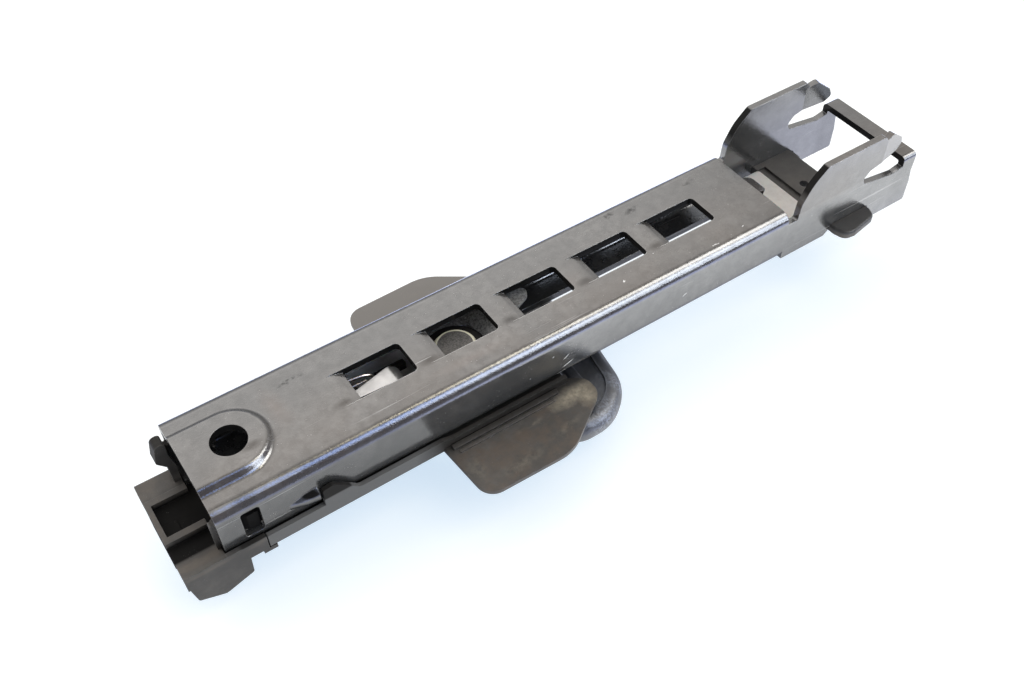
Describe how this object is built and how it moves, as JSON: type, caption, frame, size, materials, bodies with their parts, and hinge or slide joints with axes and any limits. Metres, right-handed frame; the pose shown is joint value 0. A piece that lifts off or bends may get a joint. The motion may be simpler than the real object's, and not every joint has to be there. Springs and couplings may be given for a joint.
{
  "type": "seat belt height adjuster",
  "caption": "Slotted steel rail with hook ears on which a latched carriage slides, carrying a swivelling belt guide on its anchor bolt.",
  "frame": {"origin": "centre of the upper bolt hole, level with the outer face of the rail's web", "axes": "+X down the rail to the hook ears, +Z out of the web to the pillar, belt guide side at -Z"},
  "size_m": [0.2357, 0.0736, 0.045],
  "materials": {
    "rail_steel": "zinc flake, semi gloss",
    "zinc_steel": "bright zinc plated",
    "dark_steel": "phosphated",
    "bolt_steel": "zinc plated, dull",
    "spring_steel": "bright strip",
    "spring_wire": "plated wire",
    "black_plastic": "matt moulded",
    "natural_plastic": "natural acetal",
    "shoe_plastic": "acetal",
    "grey_plastic": "matt moulded",
    "black_textured": "fine grain"
  },
  "bodies": {
    "frame": {"rail": "rail_steel", "top_guide": "black_plastic", "bottom_stop": "black_plastic", "bottom_buffer": "natural_plastic"},
    "carriage": {"carriage_plate": "zinc_steel", "weld_nut": "dark_steel", "near_shoe": "shoe_plastic", "far_shoe": "shoe_plastic", "anti_rattle_spring": "spring_steel", "latch_pin": "zinc_steel", "latch_spring": "spring_wire", "slide_cover": "grey_plastic", "anchor_bolt": "bolt_steel", "spacer_sleeve": "dark_steel", "disc_spring": "spring_steel", "thrust_washer": "shoe_plastic"},
    "latch": {"latch_lever": "zinc_steel"},
    "button": {"release_button": "grey_plastic"},
    "belt_guide": {"belt_guide_core": "zinc_steel", "belt_guide_cover": "black_textured"}
  },
  "joints": [
    {"name": "carriage_slide", "type": "slide", "parent": "frame", "child": "carriage", "axis": [1, 0, 0], "range_m": [0, 0.096]},
    {"name": "latch_pivot", "type": "hinge", "parent": "carriage", "child": "latch", "pos_m": [0.0295, 0, -0.008], "axis": [0, 1, 0], "range_deg": [-9.5, 2], "stiffness_Nm_per_rad": 0.25, "springref_deg": -17.19, "deforming": ["latch_spring"]},
    {"name": "button_press", "type": "slide", "parent": "carriage", "child": "button", "axis": [0, 0, 1], "range_m": [-0.0022, 0.0006]},
    {"name": "belt_guide_swing", "type": "hinge", "parent": "carriage", "child": "belt_guide", "pos_m": [0.0615, 0, -0.0232], "axis": [0, 0, 1], "range_deg": [-100, 100]}
  ],
  "couplings": [
    {"joint": "button_press", "follows": "latch_pivot", "m_per_rad": 0.0123}
  ]
}
